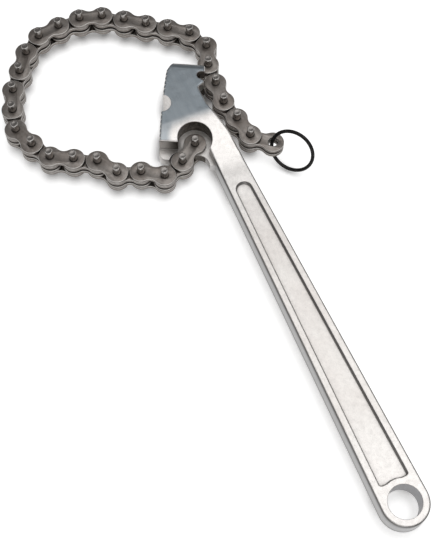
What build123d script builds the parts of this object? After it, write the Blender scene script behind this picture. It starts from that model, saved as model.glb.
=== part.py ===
from build123d import *
from math import cos, radians, sin
import os

# Chain wrench for filters and small pipe: a forged handle with a toothed jaw at its head, a chain
# pinned in a pocket of the head, and a wire ring on the chain's free end to pull it by.
# Frame: the origin is the centre of the hanging hole, half way through the handle. +X runs along
# the handle to the head, +Y is the jaw's side and +Z is along the chain's pins. Millimetres.

# Chain, of half-inch pitch
PITCH = 12.7
PIN_DIAMETER = 3.96
PIN_PROUD = 5.55
PIN_CHAMFER = 0.45
LOBE_RADIUS = 6.03
WAIST_WIDTH = 8.0
PLATE_THICKNESS = 1.9
INNER_PLATE_GAP = 1.8
BUSH_DIAMETER = 5.2
LINK_PAIRS = 14

# Clearances of the chain
PIN_PLAY = 0.05
PLATE_PLAY = 0.1
WEB_PLAY = 0.2
SWING_PLAY = 0.35

# The chain's lay: the way each link points, in degrees from the handle's axis, from the anchor on
CHAIN_LAY = [
    125, 109, 56, 69, 33, 61, 60,
    29, 22, -12, -21, -36, -36, -54,
    -80, -89, -106, -124, -127, -126, -129,
    -156, -199, -185, -184, -169.5, -169.5, -129.5,
]

# Pull ring
RING_RADIUS = 12.0
RING_WIRE = 2.0
RING_LEAN = 24.0
RING_LEAN_SIDE = -30.0
RING_HEADING = -143.0
RING_SHIFT = 0.56

# Handle bar
HOLE_DIAMETER = 16.6
END_RADIUS = 12.0
BAR_THICKNESS = 12.0
EDGE_ROUND = 1.0
NECK_WIDTH = 14.8
NECK_X = 200.0

# Recessed panel on both faces of the bar
PANEL_DEPTH = 1.9
PANEL_DRAFT = 0.7
PANEL_RIM = 2.9
PANEL_WALL_AT_HOLE = 3.0
PANEL_CORNER_RADIUS = 1.6
PANEL_CORNER_REACH = 0.9
PANEL_WIDE_HALF = 7.8
PANEL_END_X = 179.5

# Head
HEAD_THICKNESS = 24.0
ANCHOR_X = 215.8
ANCHOR_Y = 12.4
BLEND_START_X = 193.0
BLEND_END_X = 229.0
BACK_Y = -1.6
BACK_FLAT_LENGTH = 11.0
BACK_CORNER = 8.0
BACK_EDGE_CORNER = 1.5
NECK_CORNER = 10.0
NECK_CORNER_BACK = 3.0
NECK_CORNER_RISE = 1.0

# Jaw, in its own axes: along the teeth towards the nose, and out from the teeth
JAW_TILT = -27.8
JAW_LENGTH = 44.6
JAW_BOW = 0.6
JAW_FROM_ANCHOR_X = 5.0
JAW_FROM_ANCHOR_Y = 18.6
CHEEK_START = 0.6
CHEEK_LEAN = 1.0
NOSE_LENGTH = 7.2
NOSE_ROUND = 5.0
NOSE_CHAMFER = 3.4
NOSE_CORNER = 3.0
NOSE_LEAN = 0.5
HEAD_DEPTH = 21.0
HORN_CORNER = 3.2
TOOTH_PITCH = 2.8
TOOTH_DEPTH = 0.9
TOOTH_HALF_WIDTH = 1.15
TOOTH_OVERCUT = 0.2
TEETH_PER_ROW = 6
FIRST_ROW_START = 2.2
SECOND_ROW_START = 29.9
SCALLOP_ALONG = 23.6
SCALLOP_RADIUS = 5.4
SCALLOP_DEPTH = 4.5

# Pocket of the first link, with the web that carries the anchor pin
POCKET_PLAY = 3.3
TONGUE_LENGTH = 5.8
TONGUE_CORNER = 4.0
LINK_STOP = 121.0
LINK_OPEN_STOP = 163.0

# Hook for a pin, and the groove that the plates run in
HOOK_ALONG = 43.2
HOOK_IN = 19.3
HOOK_PLAY = 0.6
HOOK_MOUTH_SHARE = 1.5
LIP_ALONG = 38.6
LIP_LENGTH = 1.2
LIP_CORNER = 0.5
GROOVE_PLAY = 0.5
GROOVE_SIDE_PLAY = 0.45
GROOVE_START_X = 229.0
GROOVE_LEAN = 2.0
GROOVE_CORNER = 6.0

# Sizes that follow from the ones above
inner_face = INNER_PLATE_GAP / 2
inner_side = inner_face + PLATE_THICKNESS
outer_face = inner_side + PLATE_PLAY
outer_side = outer_face + PLATE_THICKNESS
pin_half = outer_side + PIN_PROUD
web_half = outer_face - WEB_PLAY
pin_bore_radius = PIN_DIAMETER / 2 + PIN_PLAY
pocket_radius = LOBE_RADIUS + POCKET_PLAY
head_half = HEAD_THICKNESS / 2
bar_half = BAR_THICKNESS / 2
neck_half = NECK_WIDTH / 2
through = 2 * HEAD_THICKNESS
anchor = (ANCHOR_X, ANCHOR_Y)
jaw_start = (ANCHOR_X + JAW_FROM_ANCHOR_X, ANCHOR_Y + JAW_FROM_ANCHOR_Y)


def polar(start, length, heading):
    """The point a length away from start, at a heading in degrees."""
    turn = radians(heading)
    return (start[0] + length * cos(turn), start[1] + length * sin(turn))


def jaw_point(along, out):
    """A point in the handle's axes from one in the jaw's axes."""
    return polar(polar(jaw_start, along, JAW_TILT), out, JAW_TILT + 90)


def pin_centres():
    """The chain's pin centres, from the anchor pin to the hole for the ring."""
    centres = [anchor]
    for heading in CHAIN_LAY[: 2 * LINK_PAIRS]:
        centres.append(polar(centres[-1], PITCH, heading))
    return centres


def slab(sketch, low, high):
    """The sketch as a solid between two heights."""
    return extrude(Pos(0, 0, low) * sketch, amount=high - low)


def plate_outline():
    """A link plate: two round lobes, joined by a waist that is tangent to both."""
    half = PITCH / 2
    waist = WAIST_WIDTH / 2
    sway = LOBE_RADIUS**2 - half**2 - waist**2
    waist_radius = sway / (2 * (waist - LOBE_RADIUS))
    reach = LOBE_RADIUS + waist_radius
    tangent_x = half - LOBE_RADIUS * half / reach
    tangent_y = LOBE_RADIUS * (waist + waist_radius) / reach
    tip = half + LOBE_RADIUS
    right = ThreePointArc((tangent_x, -tangent_y), (tip, 0), (tangent_x, tangent_y))
    top = ThreePointArc((tangent_x, tangent_y), (0, waist), (-tangent_x, tangent_y))
    left = ThreePointArc((-tangent_x, tangent_y), (-tip, 0), (-tangent_x, -tangent_y))
    bottom = ThreePointArc((-tangent_x, -tangent_y), (0, -waist), (tangent_x, -tangent_y))
    return make_face([right, top, left, bottom])


def plate_pair(start, heading, low, hole_radius):
    """The two plates of one link, above and below the chain's middle plane."""
    holes = Locations((-PITCH / 2, 0), (PITCH / 2, 0))
    sketch = plate_outline() - holes * Circle(hole_radius)
    middle = polar(start, PITCH / 2, heading)
    placed = Pos(middle[0], middle[1]) * Rot(0, 0, heading) * sketch
    high = low + PLATE_THICKNESS
    return Compound(children=[slab(placed, low, high), slab(placed, -high, -low)])


def link_pin(centre):
    """A round pin, pressed in the outer plates and standing well proud of them."""
    body = Cylinder(PIN_DIAMETER / 2, 2 * pin_half)
    body = chamfer(body.edges().filter_by(GeomType.CIRCLE), PIN_CHAMFER)
    return Pos(centre[0], centre[1]) * body


def bush(centre):
    """A spacer bush, pressed in both inner plates, that turns on the pin."""
    body = Cylinder(BUSH_DIAMETER / 2, 2 * inner_side) - Cylinder(pin_bore_radius, through)
    return Pos(centre[0], centre[1]) * body


def bar_plan():
    """The handle seen from above: a round end, tapering to the neck."""
    neck = Pos(NECK_X, 0) * Circle(neck_half)
    return make_hull((Circle(END_RADIUS) + neck).edges())


def cheek_plan():
    """The head's two cheeks seen from above, from the jaw round the nose to the hook and the neck."""
    cheek_start = jaw_point(CHEEK_START, 0)
    jaw_end = jaw_point(JAW_LENGTH, 0)
    bow = ThreePointArc(cheek_start, jaw_point(JAW_LENGTH / 2, JAW_BOW), jaw_end)
    nose_along = JAW_LENGTH + NOSE_LENGTH
    horn_tip = jaw_point(nose_along + NOSE_LEAN, -HEAD_DEPTH)
    lip = jaw_point(LIP_ALONG, -HEAD_DEPTH)
    flat_end = (lip[0] - LIP_LENGTH, BACK_Y)
    flat_start = (flat_end[0] - BACK_FLAT_LENGTH, BACK_Y)
    neck_end = (ANCHOR_X - NECK_CORNER_BACK, NECK_CORNER_RISE - neck_half)
    corners = [
        (jaw_end, 0),
        (jaw_point(nose_along, -NOSE_CHAMFER), NOSE_CORNER),
        (horn_tip, HORN_CORNER),
        (lip, LIP_CORNER),
        (flat_end, BACK_EDGE_CORNER),
        (flat_start, BACK_CORNER),
        (neck_end, NECK_CORNER),
        ((NECK_X, -neck_half), 0),
    ]
    points = [corner for corner, radius in corners]
    radii = [radius for corner, radius in corners[1:-1]]
    back = FilletPolyline(*points, radius=radii)
    inside = Polyline(
        (NECK_X, -neck_half),
        (NECK_X, neck_half),
        (ANCHOR_X, neck_half),
        jaw_point(CHEEK_START + CHEEK_LEAN, -JAW_FROM_ANCHOR_Y),
        cheek_start,
    )
    return make_face([bow, back, inside])


def side_profile():
    """The handle seen from the side: a flat bar that swells smoothly into the head."""
    middle_x = (BLEND_START_X + BLEND_END_X) / 2
    middle_z = (head_half + bar_half) / 2
    far = BLEND_END_X + 2 * JAW_LENGTH
    near = -2 * END_RADIUS
    upper = [
        Line((near, bar_half), (BLEND_START_X, bar_half)),
        TangentArc((BLEND_START_X, bar_half), (middle_x, middle_z), tangent=(1, 0)),
        TangentArc((BLEND_END_X, head_half), (middle_x, middle_z), tangent=(-1, 0)),
        Line((BLEND_END_X, head_half), (far, head_half)),
    ]
    lower = [mirror(edge, about=Plane.XZ) for edge in upper]
    ends = [
        Line((near, -bar_half), (near, bar_half)),
        Line((far, -head_half), (far, head_half)),
    ]
    return make_face(upper + lower + ends)


def web_plan():
    """The web that the first link straddles, with a tongue that stops the link short of the jaw."""
    boss = Pos(*anchor) * Circle(PITCH - LOBE_RADIUS - SWING_PLAY)
    tongue_line = FilletPolyline(
        jaw_point(TONGUE_CORNER, 0),
        jaw_point(-TONGUE_LENGTH, 0),
        jaw_point(-TONGUE_LENGTH, -JAW_FROM_ANCHOR_Y),
        radius=TONGUE_CORNER,
    )
    tongue_back = Polyline(
        jaw_point(-TONGUE_LENGTH, -JAW_FROM_ANCHOR_Y),
        jaw_point(TONGUE_CORNER, -JAW_FROM_ANCHOR_Y),
        jaw_point(TONGUE_CORNER, 0),
    )
    tongue = make_face([tongue_line, tongue_back])
    bar_side = [
        anchor,
        polar(anchor, PITCH, LINK_OPEN_STOP),
        (NECK_X, neck_half),
        (ANCHOR_X, 0),
    ]
    bridge = make_face(Polyline(*bar_side, close=True))
    floor = cheek_plan() & (Pos(*anchor) * Circle(pocket_radius + SWING_PLAY))
    return boss + (tongue + bridge + floor - link_swing())


def link_swing():
    """The room that the far end of the first link's neighbour sweeps, from one stop to the other."""
    lobe = LOBE_RADIUS + SWING_PLAY
    band = Circle(PITCH + lobe) - Circle(PITCH - lobe)
    reach = 2 * PITCH
    middle = (LINK_STOP + LINK_OPEN_STOP) / 2
    fan_corners = [
        (0, 0),
        polar((0, 0), reach, LINK_STOP),
        polar((0, 0), reach, middle),
        polar((0, 0), reach, LINK_OPEN_STOP),
    ]
    swept = band & make_face(Polyline(*fan_corners, close=True))
    for stop in (LINK_STOP, LINK_OPEN_STOP):
        swept += Pos(*polar((0, 0), PITCH, stop)) * Circle(lobe)
    return Pos(*anchor) * swept


def groove_plan():
    """The groove round the back and the nose, which the plates of the wrapped chain run in."""
    hook = jaw_point(HOOK_ALONG, -HOOK_IN)
    floor_y = hook[1] + LOBE_RADIUS + GROOVE_PLAY
    nose_along = JAW_LENGTH + NOSE_LENGTH - LOBE_RADIUS + PIN_DIAMETER / 2 - GROOVE_PLAY
    out = (floor_y - jaw_point(nose_along, 0)[1]) / cos(radians(JAW_TILT))
    corner = jaw_point(nose_along, out)
    far = jaw_point(2 * JAW_LENGTH, JAW_LENGTH)
    floor = FilletPolyline(
        (GROOVE_START_X - GROOVE_LEAN, -2 * END_RADIUS),
        (GROOVE_START_X, floor_y),
        corner,
        jaw_point(nose_along, 2 * SCALLOP_DEPTH),
        radius=GROOVE_CORNER,
    )
    outside = Polyline(
        jaw_point(nose_along, 2 * SCALLOP_DEPTH),
        far,
        (far[0], -2 * END_RADIUS),
        (GROOVE_START_X - GROOVE_LEAN, -2 * END_RADIUS),
    )
    return make_face([floor, outside])


def hook_plan():
    """The notch that one pin of the wrapped chain drops in."""
    seat_radius = PIN_DIAMETER / 2 + HOOK_PLAY
    mouth_radius = seat_radius * HOOK_MOUTH_SHARE
    mouth_along = HOOK_ALONG + seat_radius - mouth_radius
    seat = Pos(*jaw_point(HOOK_ALONG, -HOOK_IN)) * Circle(seat_radius)
    mouth = Pos(*jaw_point(mouth_along, -HEAD_DEPTH - mouth_radius)) * Circle(mouth_radius)
    return make_hull((seat + mouth).edges())


def tooth_gaps():
    """The V-shaped gaps between the teeth, in two rows along the bowed jaw."""
    gaps = []
    for row_start in (FIRST_ROW_START, SECOND_ROW_START):
        for count in range(TEETH_PER_ROW):
            along = row_start + count * TOOTH_PITCH
            share = 2 * along / JAW_LENGTH - 1
            face = JAW_BOW * (1 - share**2)
            corners = [
                jaw_point(along - TOOTH_HALF_WIDTH, face + TOOTH_OVERCUT),
                jaw_point(along, face - TOOTH_DEPTH),
                jaw_point(along + TOOTH_HALF_WIDTH, face + TOOTH_OVERCUT),
            ]
            gaps.append(make_face(Polyline(*corners, close=True)))
    return gaps


def panel_plan(inset):
    """The recessed panel: round at the neck, and hollowed round the hanging hole."""
    hole_side = HOLE_DIAMETER / 2 + PANEL_WALL_AT_HOLE
    corner_x = hole_side + PANEL_CORNER_REACH
    corner_y = PANEL_WIDE_HALF - PANEL_CORNER_RADIUS
    corner = Circle(PANEL_CORNER_RADIUS - inset)
    corners = Locations((corner_x, corner_y), (corner_x, -corner_y)) * corner
    round_end = Pos(PANEL_END_X, 0) * Circle(neck_half - PANEL_RIM - inset)
    outline = make_hull((Sketch() + corners + round_end).edges())
    return outline - Circle(hole_side + inset)


def nose_profile():
    """The head seen along its back: a flat slab whose nose is rounded on both edges."""
    length = 2 * (JAW_LENGTH + ANCHOR_X)
    nose_along = JAW_LENGTH + NOSE_LENGTH
    slab_end = Pos(nose_along - length / 2, 0) * Rectangle(length, HEAD_THICKNESS)
    corners = slab_end.vertices().sort_by(Axis.X)[-2:]
    return fillet(corners, NOSE_ROUND)


def blank():
    """The forging before it is machined: its plan and side view, with the nose and edges rounded."""
    plan = bar_plan() + cheek_plan()
    body = slab(plan, -head_half, head_half)
    body &= extrude(Plane.XZ * side_profile(), amount=JAW_LENGTH, both=True)
    along = polar((0, 0), 1, JAW_TILT)
    out = polar((0, 0), 1, JAW_TILT + 90)
    across = Plane(origin=(*jaw_start, 0), x_dir=(*along, 0), z_dir=(*out, 0))
    body &= extrude(across * nose_profile(), amount=ANCHOR_X, both=True)
    outline = [edge for edge in body.edges() if abs(edge.center().Z) > bar_half / 2]
    return fillet(outline, EDGE_ROUND)


def forged_handle():
    """The handle, neck and head as one forging, with its pocket, groove, hook and teeth machined."""
    body = blank()
    pocket = Pos(*anchor) * Circle(pocket_radius)
    body -= slab(pocket, -through, through)
    body += slab(web_plan(), -web_half, web_half)
    groove_half = outer_side + GROOVE_SIDE_PLAY
    body -= slab(groove_plan(), -groove_half, groove_half)
    body -= slab(hook_plan(), -through, through)
    scallop = Pos(*jaw_point(SCALLOP_ALONG, SCALLOP_RADIUS - SCALLOP_DEPTH)) * Circle(SCALLOP_RADIUS)
    body -= slab(scallop, -through, through)
    for gap in tooth_gaps():
        body -= slab(gap, -through, through)
    body -= slab(Pos(*anchor) * Circle(pin_bore_radius), -through, through)
    body -= slab(Circle(HOLE_DIAMETER / 2), -through, through)
    for side in (1, -1):
        mouth = Pos(0, 0, side * bar_half) * panel_plan(0)
        floor = Pos(0, 0, side * (bar_half - PANEL_DEPTH)) * panel_plan(PANEL_DRAFT)
        body -= loft([mouth, floor])
    return body


def pull_ring(centre):
    """The wire ring, which leans in the last link's hole with room all round the wire."""
    side = radians(RING_LEAN_SIDE)
    lean = radians(RING_LEAN)
    wire = Vector(sin(lean) * cos(side), sin(lean) * sin(side), cos(lean))
    heading = radians(RING_HEADING)
    level = Vector(cos(heading), sin(heading), 0)
    arm = (level - wire * level.dot(wire)).normalized()
    middle = Vector(centre[0], centre[1], 0) + arm * (RING_RADIUS - RING_SHIFT)
    plane = Plane(origin=middle, x_dir=arm, z_dir=arm.cross(wire))
    return plane * Torus(RING_RADIUS, RING_WIRE / 2)


def write(name, shape):
    """One STEP file for one named piece, or for one group of like pieces."""
    shape.label = name
    export_step(shape, os.path.join("parts", name + ".step"))


def build():
    os.makedirs("parts", exist_ok=True)
    pins = pin_centres()
    write("forged_handle", forged_handle())
    for pair in range(LINK_PAIRS):
        start = 2 * pair
        number = "%02d" % (pair + 1)
        near, middle, far = pins[start], pins[start + 1], pins[start + 2]
        heading = CHAIN_LAY[start]
        write("outer_plates_" + number, plate_pair(near, heading, outer_face, PIN_DIAMETER / 2))
        write("link_pins_" + number, Compound(children=[link_pin(near), link_pin(middle)]))
        heading = CHAIN_LAY[start + 1]
        write("inner_plates_" + number, plate_pair(middle, heading, inner_face, BUSH_DIAMETER / 2))
        bushes = [bush(middle)]
        if pair < LINK_PAIRS - 1:
            bushes.append(bush(far))
        write("bushes_" + number, Compound(children=bushes))
    write("pull_ring", pull_ring(pins[2 * LINK_PAIRS]))


build()
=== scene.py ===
import math

import bmesh
import bpy
from mathutils import Matrix, Vector


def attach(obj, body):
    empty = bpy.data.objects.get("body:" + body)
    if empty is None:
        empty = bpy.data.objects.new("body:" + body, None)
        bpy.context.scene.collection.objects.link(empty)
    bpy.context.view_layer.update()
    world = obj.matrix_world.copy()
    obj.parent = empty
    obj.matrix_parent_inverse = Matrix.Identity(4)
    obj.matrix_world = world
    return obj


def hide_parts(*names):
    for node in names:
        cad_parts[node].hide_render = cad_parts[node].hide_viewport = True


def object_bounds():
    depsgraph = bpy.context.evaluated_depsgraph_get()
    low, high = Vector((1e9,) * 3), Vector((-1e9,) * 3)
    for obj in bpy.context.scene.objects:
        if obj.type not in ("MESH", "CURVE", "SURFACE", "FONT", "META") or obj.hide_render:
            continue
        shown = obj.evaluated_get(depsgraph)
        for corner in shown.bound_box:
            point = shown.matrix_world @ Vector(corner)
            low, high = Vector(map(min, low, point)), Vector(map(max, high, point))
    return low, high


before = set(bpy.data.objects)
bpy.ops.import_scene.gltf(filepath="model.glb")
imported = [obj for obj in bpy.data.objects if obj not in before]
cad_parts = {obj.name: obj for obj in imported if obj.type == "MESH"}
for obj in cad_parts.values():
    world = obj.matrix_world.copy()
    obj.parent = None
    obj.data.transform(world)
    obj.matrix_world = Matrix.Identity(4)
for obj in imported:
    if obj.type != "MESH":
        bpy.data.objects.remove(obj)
cad_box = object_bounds()

# Camera
# The tool lies flat on its side and is looked at from above the middle of the handle, tipped a
# quarter towards the near end, with a long lens. The lens is given in heights of the picture.
LOOK_TILT = math.radians(24.4775)
LOOK_ROLL = math.radians(2.3826)
TOOL_YAW = math.radians(116.142)
EYE = Vector((-0.06659, 0.13506, 0.51814))
LENS_IN_FRAME_HEIGHTS = 1112.33 / 540
FILM_HEIGHT = 24.0

look = Vector((0, math.sin(LOOK_TILT), -math.cos(LOOK_TILT)))
level_right = Vector((1, 0, 0))
level_up = level_right.cross(look)
right = math.cos(LOOK_ROLL) * level_right + math.sin(LOOK_ROLL) * level_up
up = math.cos(LOOK_ROLL) * level_up - math.sin(LOOK_ROLL) * level_right
to_tool = Matrix.Rotation(-TOOL_YAW, 3, "Z")
turn = Matrix((to_tool @ right, to_tool @ up, to_tool @ -look)).transposed()
lens = bpy.data.cameras.new("studio_lens")
lens.sensor_fit = "VERTICAL"
lens.sensor_height = FILM_HEIGHT
lens.lens = LENS_IN_FRAME_HEIGHTS * FILM_HEIGHT
lens.clip_end = 20
camera = bpy.data.objects.new("studio_lens", lens)
camera.matrix_world = Matrix.Translation(EYE) @ turn.to_4x4()
bpy.context.scene.collection.objects.link(camera)
bpy.context.scene.camera = camera


# Forged handle
# One drop forging of alloy steel, with the bar, the neck and the two cheeks in one piece. It is
# bead-blasted and nickel-chrome plated, so it is satin and pale, with a fine grain. The cheeks'
# flat sides are ground smooth first. The walls of the pocket for the chain are painted dark as
# shade, and the bar's sides, edges and corners carry painted shade and highlights.
MM = 0.001


def new_material(name):
    """An empty node material, its shader and the place on the object in metres."""
    material = bpy.data.materials.new(name)
    material.use_nodes = True
    shader = material.node_tree.nodes["Principled BSDF"]
    place = material.node_tree.nodes.new("ShaderNodeTexCoord").outputs["Object"]
    return material, shader, place


def put(material, value, socket):
    """A socket takes a plain value, or the output of another node."""
    if isinstance(value, bpy.types.NodeSocket):
        material.node_tree.links.new(value, socket)
    elif hasattr(value, "__len__") and len(value) == 3 and socket.type == "RGBA":
        socket.default_value = (*value, 1)
    else:
        socket.default_value = value


def noise(material, place, size, detail=3.0, rough=0.55, stretch=None, warp=0.0):
    """Cloudy noise from 0 to 1, whose spots are about size metres across."""
    tree = material.node_tree
    if stretch:
        mapping = tree.nodes.new("ShaderNodeMapping")
        mapping.inputs["Scale"].default_value = stretch
        tree.links.new(place, mapping.inputs["Vector"])
        place = mapping.outputs["Vector"]
    made = tree.nodes.new("ShaderNodeTexNoise")
    made.inputs["Scale"].default_value = 1 / size
    made.inputs["Detail"].default_value = detail
    made.inputs["Roughness"].default_value = rough
    made.inputs["Distortion"].default_value = warp
    tree.links.new(place, made.inputs["Vector"])
    return made.outputs["Fac"]


def span(material, source, low, high, to_low=0.0, to_high=1.0):
    """The source between two values, spread smoothly over two others."""
    made = material.node_tree.nodes.new("ShaderNodeMapRange")
    made.interpolation_type = "SMOOTHSTEP"
    made.inputs["From Min"].default_value = low
    made.inputs["From Max"].default_value = high
    made.inputs["To Min"].default_value = to_low
    made.inputs["To Max"].default_value = to_high
    put(material, source, made.inputs["Value"])
    return made.outputs["Result"]


def calc(material, operation, first, second=None, third=None):
    """Arithmetic on the outputs of other nodes."""
    made = material.node_tree.nodes.new("ShaderNodeMath")
    made.operation = operation
    for socket, value in zip(made.inputs, (first, second, third)):
        if value is not None:
            put(material, value, socket)
    return made.outputs["Value"]


def mix(material, share, first, second):
    """A colour between two others."""
    made = material.node_tree.nodes.new("ShaderNodeMix")
    made.data_type = "RGBA"
    put(material, share, made.inputs["Factor"])
    put(material, first, made.inputs["A"])
    put(material, second, made.inputs["B"])
    return made.outputs["Result"]


def axes(material, vector):
    """The three parts of a vector."""
    made = material.node_tree.nodes.new("ShaderNodeSeparateXYZ")
    material.node_tree.links.new(vector, made.inputs["Vector"])
    return made.outputs


def soft_edges(material, radius):
    """The surface's normal with its edges rounded, and how much of an edge each point is."""
    tree = material.node_tree
    rounded = tree.nodes.new("ShaderNodeBevel")
    rounded.samples = 6
    rounded.inputs["Radius"].default_value = radius
    true = tree.nodes.new("ShaderNodeNewGeometry")
    dot = tree.nodes.new("ShaderNodeVectorMath")
    dot.operation = "DOT_PRODUCT"
    tree.links.new(rounded.outputs["Normal"], dot.inputs[0])
    tree.links.new(true.outputs["True Normal"], dot.inputs[1])
    return rounded.outputs["Normal"], span(material, dot.outputs["Value"], 0.995, 0.80)


def corners(material, reach):
    """How deep in a corner a point is: 0 in the open, 1 in a corner."""
    made = material.node_tree.nodes.new("ShaderNodeAmbientOcclusion")
    made.samples = 8
    made.inputs["Distance"].default_value = reach
    return span(material, made.outputs["AO"], 0.95, 0.35)


def bump(material, height, depth, normal=None):
    """The normal of a surface that is raised by height, 0 to 1, times depth in metres."""
    made = material.node_tree.nodes.new("ShaderNodeBump")
    made.inputs["Distance"].default_value = depth
    put(material, height, made.inputs["Height"])
    if normal is not None:
        put(material, normal, made.inputs["Normal"])
    return made.outputs["Normal"]


def dress(name, material):
    """Gives a piece that the frame already holds its finish."""
    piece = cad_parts[name]
    piece.data.materials.clear()
    piece.data.materials.append(material)


def reach(material, place, centre):
    """How far each point is from an axis along Z, in metres."""
    offset = material.node_tree.nodes.new("ShaderNodeVectorMath")
    offset.operation = "MULTIPLY_ADD"
    put(material, place, offset.inputs[0])
    offset.inputs[1].default_value = (1, 1, 0)
    offset.inputs[2].default_value = -centre
    length = material.node_tree.nodes.new("ShaderNodeVectorMath")
    length.operation = "LENGTH"
    put(material, offset.outputs["Vector"], length.inputs[0])
    return length.outputs["Value"]


def levelness(material, normal):
    """How level the surface lies: 1 on a flat top or underside, 0 on an upright wall."""
    geometry = material.node_tree.nodes.new("ShaderNodeNewGeometry")
    return calc(material, "ABSOLUTE", axes(material, geometry.outputs[normal])["Z"])


# Sizes of the forging
HOLE = Vector((0, 0, 0))
HOLE_RADIUS = 8.3 * MM
END_RADIUS = 12 * MM
BAR_TAPER = 4.6 / 200
NECK_START = 196 * MM
NECK_END = 208 * MM
ANCHOR = Vector((215.8 * MM, 12.4 * MM, 0))
POCKET_RADIUS = 9.33 * MM
WEB_HALF = 2.7 * MM
JAW_START = Vector((220.8 * MM, 31.0 * MM, 0))
JAW_TILT = math.radians(-27.8)
HEAD_START = 226.2 * MM
HOOK = Vector((250.0 * MM, -6.2 * MM, 0))

# Colours of the plating and of the ground flats, and of the painted shade and highlights on the
# bar's sides, the hole's wall, the edges, the corners, the web and the pocket's walls
NICKEL = (0.785, 0.745, 0.715)
NICKEL_PALE = (0.83, 0.80, 0.77)
NICKEL_BRIGHTER = (0.96, 0.93, 0.905)
NICKEL_DULL = (0.60, 0.58, 0.555)
BLAST_SPECK = (0.50, 0.48, 0.455)
PIT = (0.30, 0.29, 0.27)
GROUND = (0.31, 0.352, 0.385)
GROUND_PALE = (0.36, 0.40, 0.432)
SIDE_SHADE = (0.56, 0.56, 0.565)
SIDE_EDGE_SHADE = (0.24, 0.24, 0.24)
HOLE_WALL_SHADE = (0.35, 0.355, 0.375)
RIM_HIGHLIGHT = (0.92, 0.92, 0.91)
RIM_SHADE = (0.20, 0.19, 0.18)
ROUNDING_SHADE = (0.16, 0.155, 0.15)
CORNER_SHADE = (0.21, 0.196, 0.182)
WEB_SHADE = (0.14, 0.13, 0.12)
WALL_SHADE = (0.07, 0.06, 0.052)
WALL_SHADE_PALE = (0.20, 0.178, 0.156)

steel, shader, place = new_material("satin_nickel")
x, y, z = axes(steel, place)
level = calc(steel, "ABSOLUTE", z)
upward = levelness(steel, "True Normal")
rounded, edge = soft_edges(steel, 0.5 * MM)
corner = corners(steel, 3.0 * MM)
from_anchor = reach(steel, place, ANCHOR)
from_hole = reach(steel, place, HOLE)
from_hook = reach(steel, place, HOOK)

# The walls painted dark as shade: the pocket's, the step's beside it and the hook's
in_pocket = span(steel, from_anchor, POCKET_RADIUS + 0.3 * MM, POCKET_RADIUS + 0.15 * MM)
past_jaw = calc(steel, "SUBTRACT", x, JAW_START.x)
beyond_jaw = calc(steel, "SUBTRACT", y, JAW_START.y)
along_jaw = calc(steel, "MULTIPLY", past_jaw, math.cos(JAW_TILT))
along_jaw = calc(steel, "MULTIPLY_ADD", beyond_jaw, math.sin(JAW_TILT), along_jaw)
step = span(steel, along_jaw, 2.2 * MM, 1.8 * MM)
step = calc(steel, "MULTIPLY", step, span(steel, y, ANCHOR.y, ANCHOR.y + 2 * MM))
above_web = span(steel, level, WEB_HALF + 0.1 * MM, WEB_HALF + 0.3 * MM)
step = calc(steel, "MULTIPLY", step, above_web)
step = calc(steel, "MULTIPLY", step, span(steel, from_anchor, 9 * MM, 17 * MM, 0.95, 0.3))
hooked = span(steel, from_hook, 5.5 * MM, 4.0 * MM)
shaded = calc(steel, "MAXIMUM", in_pocket, calc(steel, "MAXIMUM", step, hooked))
below_rim = span(steel, level, 11.6 * MM, 10.6 * MM, 0.35, 1)
shaded = calc(steel, "MULTIPLY", shaded, below_rim)
shaded_wall = calc(steel, "MULTIPLY", shaded, span(steel, upward, 0.5, 0.2))

# Painted shade on the web next to the pocket, mostly on the jaw's side
web_shade_reach = calc(steel, "MULTIPLY_ADD", noise(steel, place, 4 * MM, 3), 4 * MM, from_anchor)
on_web = span(steel, level, WEB_HALF + 0.3 * MM, WEB_HALF + 0.1 * MM)
jaw_side = span(steel, y, ANCHOR.y + 4 * MM, ANCHOR.y + 9 * MM)
web_shade = calc(steel, "MULTIPLY", on_web, span(steel, web_shade_reach, 22 * MM, 12 * MM))
web_shade = calc(steel, "MULTIPLY", web_shade, span(steel, jaw_side, 0, 1, 0.1, 1))

# The ground flats of the head: they begin at the end of the swell, and reach back past the
# pocket on the jaw's side
drift = noise(steel, place, 14 * MM, 2)
line = calc(steel, "MULTIPLY_ADD", drift, 2.5 * MM, x)
along_head = span(steel, line, HEAD_START - 1 * MM, HEAD_START + 6 * MM)
round_pocket = span(steel, from_anchor, 11.5 * MM, 15.5 * MM, 0, 0.85)
beside = calc(steel, "MULTIPLY", jaw_side, round_pocket)
flat = calc(steel, "MAXIMUM", along_head, beside)
flat = calc(steel, "MULTIPLY", flat, span(steel, upward, 0.55, 0.97))
flat = calc(steel, "MULTIPLY", flat, span(steel, level, 8.0 * MM, 9.5 * MM))

# Plating with a blasted grain, brighter towards the hole end and the head, and the ground steel
clouds = noise(steel, place, 22 * MM, 3)
grain = noise(steel, place, 0.32 * MM, 2, 0.6)
mottle = noise(steel, place, 2.2 * MM, 4, 0.62)
smear = noise(steel, place, 3.0 * MM, 4, 0.6, stretch=(0.16, 1, 1))
pits = span(steel, noise(steel, place, 0.9 * MM, 2, 0.5), 0.70, 0.78)
near_head = span(steel, x, 150 * MM, 190 * MM)
near_hole = span(steel, x, 60 * MM, 0)
near_ends = calc(steel, "MAXIMUM", near_head, near_hole)
plating = mix(steel, span(steel, clouds, 0.35, 0.65), NICKEL, NICKEL_PALE)
plating = mix(steel, calc(steel, "MULTIPLY", near_ends, 0.75), plating, NICKEL_BRIGHTER)
plating = mix(steel, span(steel, mottle, 0.35, 0.75, 0, 0.3), plating, NICKEL_DULL)
plating = mix(steel, span(steel, grain, 0.52, 0.68, 0, 0.45), plating, BLAST_SPECK)
ground = mix(steel, span(steel, smear, 0.3, 0.7), GROUND, GROUND_PALE)
colour = mix(steel, flat, plating, ground)
colour = mix(steel, calc(steel, "MULTIPLY", pits, 0.35), colour, PIT)
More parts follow.
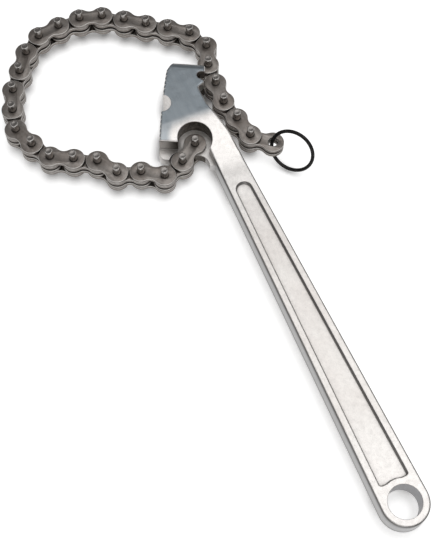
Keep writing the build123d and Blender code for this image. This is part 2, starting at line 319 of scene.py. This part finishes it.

# The bar's sides and the hanging hole's wall, painted darker as shade and darkest towards their
# edges, and painted shade in the corners
on_bar = span(steel, x, NECK_END, NECK_START)
flank_shade = calc(steel, "MULTIPLY", on_bar, span(steel, upward, 0.75, 0.3, 0, 0.84))
side = mix(steel, span(steel, level, 1.5 * MM, 5.5 * MM), SIDE_SHADE, SIDE_EDGE_SHADE)
in_hole = span(steel, from_hole, HOLE_RADIUS + 0.5 * MM, HOLE_RADIUS + 0.2 * MM)
colour = mix(steel, flank_shade, colour, mix(steel, in_hole, side, HOLE_WALL_SHADE))
# Painted shade in the corners, from ambient occlusion
colour = mix(steel, calc(steel, "MULTIPLY", corner, 0.45), colour, CORNER_SHADE)

# The edges: a painted highlight on the ground head, and painted shade along the rounded outer
# edges of the bar
rim_light_and_shade = mix(steel, on_bar, RIM_HIGHLIGHT, RIM_SHADE)
rim_paint_share = calc(steel, "MULTIPLY", edge, span(steel, on_bar, 0, 1, 0.55, 0.8))
colour = mix(steel, rim_paint_share, colour, rim_light_and_shade)
# A line of painted shade along the rounding between the bar's face and its sides
aside = calc(steel, "MULTIPLY_ADD", x, BAR_TAPER, calc(steel, "ABSOLUTE", y))
outer = span(steel, aside, END_RADIUS - 1.8 * MM, END_RADIUS - 1.4 * MM)
outer = calc(steel, "MAXIMUM", outer, span(steel, x, 3 * MM, 0))
crease_shade = calc(steel, "MULTIPLY", span(steel, upward, 0.12, 0.3), span(steel, upward, 0.95, 0.8))
crease_shade = calc(steel, "MULTIPLY", crease_shade, outer)
crease_shade = calc(steel, "MULTIPLY", crease_shade, calc(steel, "SUBTRACT", on_bar, in_hole))
colour = mix(steel, calc(steel, "MULTIPLY", crease_shade, 0.8), colour, ROUNDING_SHADE)

# Painted shade on the web beside the pocket
colour = mix(steel, calc(steel, "MULTIPLY", web_shade, 0.8), colour, WEB_SHADE)
# Colour of the painted shade on those walls
wall_shade_colour = mix(steel, span(steel, mottle, 0.35, 0.7), WALL_SHADE, WALL_SHADE_PALE)
colour = mix(steel, shaded_wall, colour, wall_shade_colour)
steel.node_tree.links.new(colour, shader.inputs["Base Color"])
shader.inputs["Metallic"].default_value = 1
rough = calc(steel, "MULTIPLY_ADD", mottle, 0.12, span(steel, flat, 0, 1, 0.28, 0.24))
rough = calc(steel, "MULTIPLY_ADD", corner, 0.18, rough)
steel.node_tree.links.new(rough, shader.inputs["Roughness"])
skin = bump(steel, clouds, 0.5 * MM, rounded)
skin = bump(steel, grain, 0.05 * MM, skin)
steel.node_tree.links.new(skin, shader.inputs["Normal"])
dress("forged_handle", steel)


# Chain plates
# Each link has two blanked and tumbled plates of heat-treated steel, 1.9 mm thick, with a
# round-edged hole at each end. They are oiled brown-grey and bright where they rub, with a
# painted highlight on their rolled edges and painted shade where they meet.
PITCH = 12.7 * MM
LOBE_RADIUS = 6.03 * MM
WAIST_HALF = 4.0 * MM
PLATE_THICKNESS = 1.9 * MM
INNER_FACE = 0.9 * MM
OUTER_FACE = 2.9 * MM
PIN_RADIUS = 1.98 * MM
BUSH_RADIUS = 2.6 * MM
PLATE_EDGE = 0.32 * MM
PLATE_BROWN = (0.285, 0.253, 0.23)
PLATE_PALE = (0.35, 0.322, 0.30)
PLATE_DARK = (0.20, 0.18, 0.165)
PLATE_RUBBED = (0.52, 0.50, 0.475)
PLATE_RIM_HIGHLIGHT = (0.95, 0.93, 0.90)
PLATE_CORNER_SHADE = (0.018, 0.015, 0.013)
LOBE_POINTS = 33
WAIST_POINTS = 9
CHAIN_LAY = [
    125, 109, 56, 69, 33, 61, 60,
    29, 22, -12, -21, -36, -36, -54,
    -80, -89, -106, -124, -127, -126, -129,
    -156, -199, -185, -184, -169.5, -169.5, -129.5,
]
LINK_PAIRS = len(CHAIN_LAY) // 2

pins = [ANCHOR]
for heading in CHAIN_LAY:
    turned = math.radians(heading)
    pins.append(pins[-1] + PITCH * Vector((math.cos(turned), math.sin(turned), 0)))


def arc_points(centre, radius, start, stop, count):
    """Points along an arc, in the plane, between two angles in radians."""
    turns = [start + (stop - start) * step / (count - 1) for step in range(count)]
    return [(centre[0] + radius * math.cos(t), centre[1] + radius * math.sin(t)) for t in turns]


def plate_outline():
    """The outline of one plate about its middle: two lobes and two hollow waists."""
    half = PITCH / 2
    sway = LOBE_RADIUS**2 - half**2 - WAIST_HALF**2
    waist_radius = sway / (2 * (WAIST_HALF - LOBE_RADIUS))
    lean = math.atan2(WAIST_HALF + waist_radius, half)
    back = math.pi - lean
    above = (0, WAIST_HALF + waist_radius)
    below = (0, -WAIST_HALF - waist_radius)
    outline = arc_points((half, 0), LOBE_RADIUS, -back, back, LOBE_POINTS)
    outline += arc_points(above, waist_radius, -lean, -back, WAIST_POINTS)[1:-1]
    outline += arc_points((-half, 0), LOBE_RADIUS, lean, 2 * math.pi - lean, LOBE_POINTS)
    outline += arc_points(below, waist_radius, back, lean, WAIST_POINTS)[1:-1]
    return outline


def plate_mesh(name, hole_radius):
    """One plate about its own middle, with rolled edges, as a mesh."""
    curve = bpy.data.curves.new(name, "CURVE")
    curve.dimensions = "2D"
    curve.fill_mode = "BOTH"
    curve.extrude = PLATE_THICKNESS / 2 - PLATE_EDGE
    curve.bevel_depth = PLATE_EDGE
    curve.bevel_resolution = 2
    curve.offset = -PLATE_EDGE
    loops = [plate_outline()]
    for end in (-PITCH / 2, PITCH / 2):
        loops.append(arc_points((end, 0), hole_radius, 0, -2 * math.pi, LOBE_POINTS)[:-1])
    for loop in loops:
        spline = curve.splines.new("POLY")
        spline.points.add(len(loop) - 1)
        for point, (along, across) in zip(spline.points, loop):
            point.co = (along, across, 0, 1)
        spline.use_cyclic_u = True
    maker = bpy.data.objects.new(name, curve)
    bpy.context.scene.collection.objects.link(maker)
    bpy.context.view_layer.update()
    mesh = bpy.data.meshes.new_from_object(maker)
    bpy.data.objects.remove(maker)
    return mesh


WELD = 1e-7
SHARP = math.radians(40)


def gather(name, meshes_and_moves, material, body, replaced):
    """One object of several moved meshes, which stands for a CAD node and rides on its body."""
    shape = bmesh.new()
    for source, move in meshes_and_moves:
        piece = source.copy()
        piece.transform(move)
        shape.from_mesh(piece)
        bpy.data.meshes.remove(piece)
    bmesh.ops.remove_doubles(shape, verts=shape.verts, dist=WELD)
    mesh = bpy.data.meshes.new(name)
    shape.to_mesh(mesh)
    shape.free()
    mesh.shade_smooth()
    mesh.set_sharp_from_angle(angle=SHARP)
    mesh.materials.clear()
    mesh.materials.append(material)
    made = bpy.data.objects.new(name, mesh)
    bpy.context.scene.collection.objects.link(made)
    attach(made, body)
    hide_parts(replaced)


plate, shader, place = new_material("chain_plate")
corner = corners(plate, 1.3 * MM)
slope = levelness(plate, "Normal")
# The rolled edges, which get a painted highlight
rolled = calc(plate, "MULTIPLY", span(plate, slope, 0.985, 0.90), span(plate, slope, 0.25, 0.55))
clouds = noise(plate, place, 9 * MM, 3)
mottle = noise(plate, place, 1.3 * MM, 4, 0.6)
grain = noise(plate, place, 0.22 * MM, 2)
rub = noise(plate, place, 5 * MM, 4, 0.6, warp=0.6)
colour = mix(plate, span(plate, clouds, 0.35, 0.65), PLATE_BROWN, PLATE_PALE)
colour = mix(plate, span(plate, mottle, 0.4, 0.75, 0, 0.5), colour, PLATE_DARK)
colour = mix(plate, span(plate, rub, 0.60, 0.75, 0, 0.35), colour, PLATE_RUBBED)
colour = mix(plate, calc(plate, "MULTIPLY", rolled, 0.9), colour, PLATE_RIM_HIGHLIGHT)
# Painted shade in the corners between plates and pins
colour = mix(plate, calc(plate, "MULTIPLY", corner, 0.85), colour, PLATE_CORNER_SHADE)
plate.node_tree.links.new(colour, shader.inputs["Base Color"])
shader.inputs["Metallic"].default_value = 1
rough = calc(plate, "MULTIPLY_ADD", mottle, 0.16, span(plate, rub, 0.3, 0.8, 0.36, 0.26))
plate.node_tree.links.new(rough, shader.inputs["Roughness"])
skin = bump(plate, mottle, 0.05 * MM)
skin = bump(plate, grain, 0.02 * MM, skin)
plate.node_tree.links.new(skin, shader.inputs["Normal"])

outer_plate = plate_mesh("outer_plate", PIN_RADIUS)
inner_plate = plate_mesh("inner_plate", BUSH_RADIUS)
for link_number, heading in enumerate(CHAIN_LAY):
    is_outer = link_number % 2 == 0
    middle = (pins[link_number] + pins[link_number + 1]) / 2
    stand = (OUTER_FACE if is_outer else INNER_FACE) + PLATE_THICKNESS / 2
    lie = Matrix.Rotation(math.radians(heading), 4, "Z")
    shape = outer_plate if is_outer else inner_plate
    spots = []
    for height in (stand, -stand):
        spots.append((shape, Matrix.Translation(middle + Vector((0, 0, height))) @ lie))
    kind = "outer_plates" if is_outer else "inner_plates"
    node_name = f"{kind}_{link_number // 2 + 1:02d}"
    body = f"link_{link_number + 1:02d}"
    gather(f"{node_name}_rolled", spots, plate, body, node_name)


# Pins
# Each outer link has two long hardened pins, pressed through its plates. They stand 5.5 mm
# proud of them on both sides, with a rounded rim and a slightly hollow end, and are oily.
PIN_HALF = 10.35 * MM
PIN_RIM = 0.45 * MM
HOLLOW = 0.12 * MM
PIN_SIDES = 32
PIN_DARK = (0.36, 0.335, 0.315)
PIN_PALE = (0.50, 0.475, 0.455)
PIN_STREAK = (0.16, 0.147, 0.138)
PIN_END = (0.27, 0.252, 0.24)
PIN_RIM_HIGHLIGHT = (0.85, 0.83, 0.80)
PIN_BASE_SHADE = (0.03, 0.027, 0.024)


def pin_profile():
    """Half the pin's section, from the middle of its end to its side, as radius and height."""
    end = [(0, PIN_HALF - HOLLOW), (0.55 * PIN_RADIUS, PIN_HALF - 0.7 * HOLLOW)]
    rim_centre = (PIN_RADIUS - PIN_RIM, PIN_HALF - PIN_RIM)
    rim_light_and_shade = arc_points(rim_centre, PIN_RIM, math.pi / 2, 0, 6)
    return end + rim_light_and_shade


def lathe(name, profile, count):
    """A closed turned mesh about the Z axis, from a profile that is mirrored below z = 0."""
    shape = bmesh.new()
    whole = profile + [(radius, -height) for radius, height in reversed(profile)]
    rows = []
    for radius, height in whole:
        if radius == 0:
            rows.append([shape.verts.new((0, 0, height))])
            continue
        row = []
        for number in range(count):
            turn = 2 * math.pi * number / count
            spot = (radius * math.cos(turn), radius * math.sin(turn), height)
            row.append(shape.verts.new(spot))
        rows.append(row)
    for upper, lower in zip(rows, rows[1:]):
        for number in range(count):
            after = (number + 1) % count
            ring = [upper[number % len(upper)], lower[number % len(lower)]]
            if len(lower) > 1:
                ring.append(lower[after])
            if len(upper) > 1:
                ring.append(upper[after])
            shape.faces.new(ring)
    bmesh.ops.recalc_face_normals(shape, faces=shape.faces)
    mesh = bpy.data.meshes.new(name)
    shape.to_mesh(mesh)
    shape.free()
    return mesh


pin, shader, place = new_material("chain_pin")
corner = corners(pin, 1.0 * MM)
mottle = noise(pin, place, 1.1 * MM, 4, 0.6)
streak = noise(pin, place, 0.5 * MM, 3, 0.55, stretch=(1, 1, 0.15))
slope = levelness(pin, "Normal")
end_face = span(pin, slope, 0.90, 0.99)
pin_rim_highlight = calc(pin, "MULTIPLY", span(pin, slope, 0.25, 0.5), span(pin, end_face, 0.4, 0))
colour = mix(pin, span(pin, mottle, 0.3, 0.7), PIN_DARK, PIN_PALE)
colour = mix(pin, span(pin, streak, 0.45, 0.7, 0, 0.7), colour, PIN_STREAK)
colour = mix(pin, calc(pin, "MULTIPLY", end_face, 0.7), colour, PIN_END)
# Painted highlight on the rounded rim of the pin's end
colour = mix(pin, calc(pin, "MULTIPLY", pin_rim_highlight, 0.75), colour, PIN_RIM_HIGHLIGHT)
# Painted shade where the pin meets the plates
colour = mix(pin, calc(pin, "MULTIPLY", corner, 0.7), colour, PIN_BASE_SHADE)
pin.node_tree.links.new(colour, shader.inputs["Base Color"])
shader.inputs["Metallic"].default_value = 1
rough = calc(pin, "MULTIPLY_ADD", mottle, 0.12, 0.16)
pin.node_tree.links.new(rough, shader.inputs["Roughness"])
pin.node_tree.links.new(bump(pin, streak, 0.02 * MM), shader.inputs["Normal"])

turned_pin = lathe("turned_pin", pin_profile(), PIN_SIDES)
for pair in range(LINK_PAIRS):
    spots = [(turned_pin, Matrix.Translation(pins[2 * pair + end])) for end in (0, 1)]
    node_name = f"link_pins_{pair + 1:02d}"
    body = f"link_{2 * pair + 1:02d}"
    gather(f"{node_name}_turned", spots, pin, body, node_name)


# Bushes
# Short turned tubes, pressed in the inner plates, on which the pins turn. They hardly show
# between the plates, and are wet with oil.
BUSH_DARK = (0.14, 0.13, 0.12)
BUSH_PALE = (0.22, 0.21, 0.20)
bush, shader, place = new_material("bush_steel")
wear = noise(bush, place, 0.8 * MM, 3)
colour = mix(bush, span(bush, wear, 0.3, 0.7), BUSH_DARK, BUSH_PALE)
bush.node_tree.links.new(colour, shader.inputs["Base Color"])
shader.inputs["Metallic"].default_value = 1
rough = calc(bush, "MULTIPLY_ADD", wear, 0.2, 0.2)
bush.node_tree.links.new(rough, shader.inputs["Roughness"])
for pair in range(LINK_PAIRS):
    dress(f"bushes_{pair + 1:02d}", bush)


# Pull ring
# Spring wire of 2 mm, bent to a closed ring with a butt joint, and black-oxide coated. It
# hangs loose in the end hole of the last link.
OXIDE = (0.018, 0.017, 0.017)
OXIDE_WORN = (0.055, 0.052, 0.05)
wire, shader, place = new_material("black_oxide")
wear = noise(wire, place, 2.5 * MM, 4, 0.6)
grain = noise(wire, place, 0.25 * MM, 2)
colour = mix(wire, span(wire, wear, 0.45, 0.75), OXIDE, OXIDE_WORN)
wire.node_tree.links.new(colour, shader.inputs["Base Color"])
shader.inputs["Metallic"].default_value = 0.7
rough = calc(wire, "MULTIPLY_ADD", wear, 0.2, 0.22)
wire.node_tree.links.new(rough, shader.inputs["Roughness"])
wire.node_tree.links.new(bump(wire, grain, 0.015 * MM), shader.inputs["Normal"])
dress("pull_ring", wire)


# Floor, room and lights
# A sheet of white paper under a large overhead softbox, whose far edge ends just short of what
# the head mirrors, with a weaker one at the side and one in front, low over the handle's end.
# The paper is seen nearly pure white, apart from the soft shadow close round the tool, which is
# partly painted: the paper's glow fades close to the tool.
FLOOR_Z = cad_box[0][2]
PAPER = (0.89, 0.89, 0.89)
PAPER_PALE = (0.91, 0.91, 0.91)
PAPER_LIFT = 0.72
GLOSSY_LIFT = 0.5
SHADOW_REACH = 8.5 * MM
ROOM_LIGHT = 0.24
paper, shader, place = new_material("white_paper")
tooth = noise(paper, place, 1.5 * MM, 2)
sheet_colour = mix(paper, tooth, PAPER, PAPER_PALE)
paper.node_tree.links.new(sheet_colour, shader.inputs["Base Color"])
shader.inputs["Roughness"].default_value = 0.95
shader.inputs["Specular IOR Level"].default_value = 0.1
near_tool = paper.node_tree.nodes.new("ShaderNodeAmbientOcclusion")
near_tool.samples = 16
near_tool.inputs["Distance"].default_value = SHADOW_REACH
path = paper.node_tree.nodes.new("ShaderNodeLightPath")
glossy, direct = path.outputs["Is Glossy Ray"], path.outputs["Is Camera Ray"]
seen = calc(paper, "MULTIPLY_ADD", glossy, GLOSSY_LIFT, direct)
# The glow fades close round the tool, a painted contact shadow
glow_outside_painted_shadow = span(paper, near_tool.outputs["AO"], 0.45, 0.98, 0, PAPER_LIFT)
lift = calc(paper, "MULTIPLY", seen, glow_outside_painted_shadow)
shader.inputs["Emission Color"].default_value = (1, 1, 1, 1)
paper.node_tree.links.new(lift, shader.inputs["Emission Strength"])
bpy.ops.mesh.primitive_plane_add(size=6, location=(0.15, 0, FLOOR_Z))
floor = bpy.context.object
floor.name = "studio_floor"
floor.data.materials.append(paper)

world = bpy.data.worlds.new("studio")
world.use_nodes = True
background = world.node_tree.nodes["Background"]
background.inputs["Color"].default_value = (1, 1, 1, 1)
background.inputs["Strength"].default_value = ROOM_LIGHT
bpy.context.scene.world = world


def softbox(name, place, aim, size, glow):
    """A soft light that points at a place on the tool, with a given brightness of its face."""
    lamp = bpy.data.lights.new(name, "AREA")
    lamp.shape = "RECTANGLE"
    lamp.size, lamp.size_y = size
    lamp.energy = glow * math.pi * size[0] * size[1]
    piece = bpy.data.objects.new(name, lamp)
    piece.location = place
    piece.rotation_euler = (Vector(aim) - Vector(place)).to_track_quat("-Z", "Y").to_euler()
    bpy.context.scene.collection.objects.link(piece)


softbox("overhead", (0.2, -0.25, 0.9), (0.2, -0.25, 0), (1.04, 0.8), 1.12)
softbox("side", (0.1, 0.9, 0.6), (0.15, 0, 0), (0.8, 0.6), 0.3)
softbox("front", (-0.75, 0.45, 0.45), (0.15, 0, 0), (0.7, 0.5), 1.2)

bpy.context.scene.view_settings.view_transform = "Standard"
